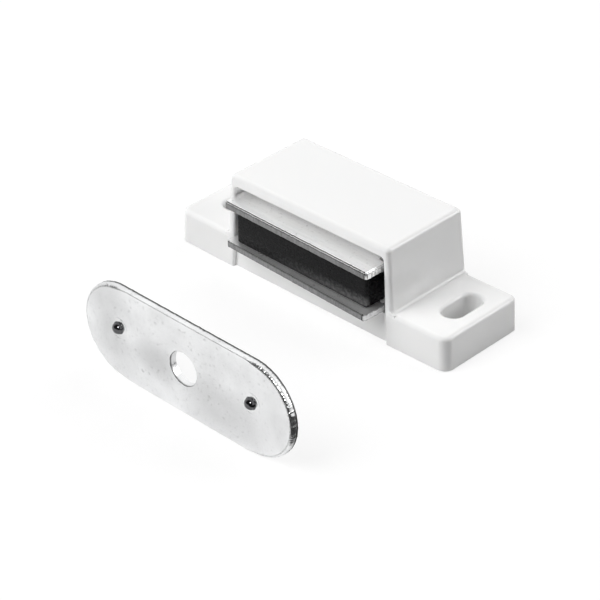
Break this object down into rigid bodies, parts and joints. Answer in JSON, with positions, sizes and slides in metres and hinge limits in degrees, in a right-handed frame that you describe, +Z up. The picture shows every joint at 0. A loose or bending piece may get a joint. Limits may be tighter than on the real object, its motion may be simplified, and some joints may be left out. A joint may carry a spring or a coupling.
{
  "type": "magnetic cupboard catch",
  "caption": "Magnetic cupboard catch: moulded housing with slotted screw ears, a loose magnet between steel pole plates, and a steel striker plate for the door.",
  "frame": {"origin": "middle of the mounting face, the flat underside that is screwed to a shelf or side panel", "axes": "+X to the right ear as seen from the open front, +Y to the rear, +Z up from the mounting face; the door closes along +Y"},
  "size_m": [0.0465, 0.042, 0.0136],
  "materials": {
    "housing": "white moulded plastic, polished",
    "pole_plates": "bright zinc plated steel with grey sheared edges",
    "magnet": "black ground ferrite, glossy",
    "striker": "satin zinc plated steel, cloudy"
  },
  "bodies": {
    "housing": {"housing": "housing"},
    "magnet": {"magnet": "magnet"},
    "upper_plate": {"upper_pole_plate": "pole_plates"},
    "lower_plate": {"lower_pole_plate": "pole_plates"},
    "striker": {"striker_plate": "striker"}
  },
  "joints": [
    {"name": "pack_float", "type": "slide", "parent": "housing", "child": "magnet", "axis": [0, 1, 0], "range_m": [0, 0.0012]},
    {"name": "upper_plate_swivel", "type": "hinge", "parent": "magnet", "child": "upper_plate", "pos_m": [0, -0.00288, 0.0105], "axis": [0, 0, 1], "range_deg": [-0.05, 2.75]},
    {"name": "lower_plate_swivel", "type": "hinge", "parent": "magnet", "child": "lower_plate", "pos_m": [0, -0.00288, 0.0045], "axis": [0, 0, 1], "range_deg": [-0.03, 5.17]},
    {"name": "door_travel", "type": "slide", "parent": "housing", "child": "striker", "axis": [-0.2516, 0.9678, 0], "range_m": [0, 0.02376]}
  ]
}
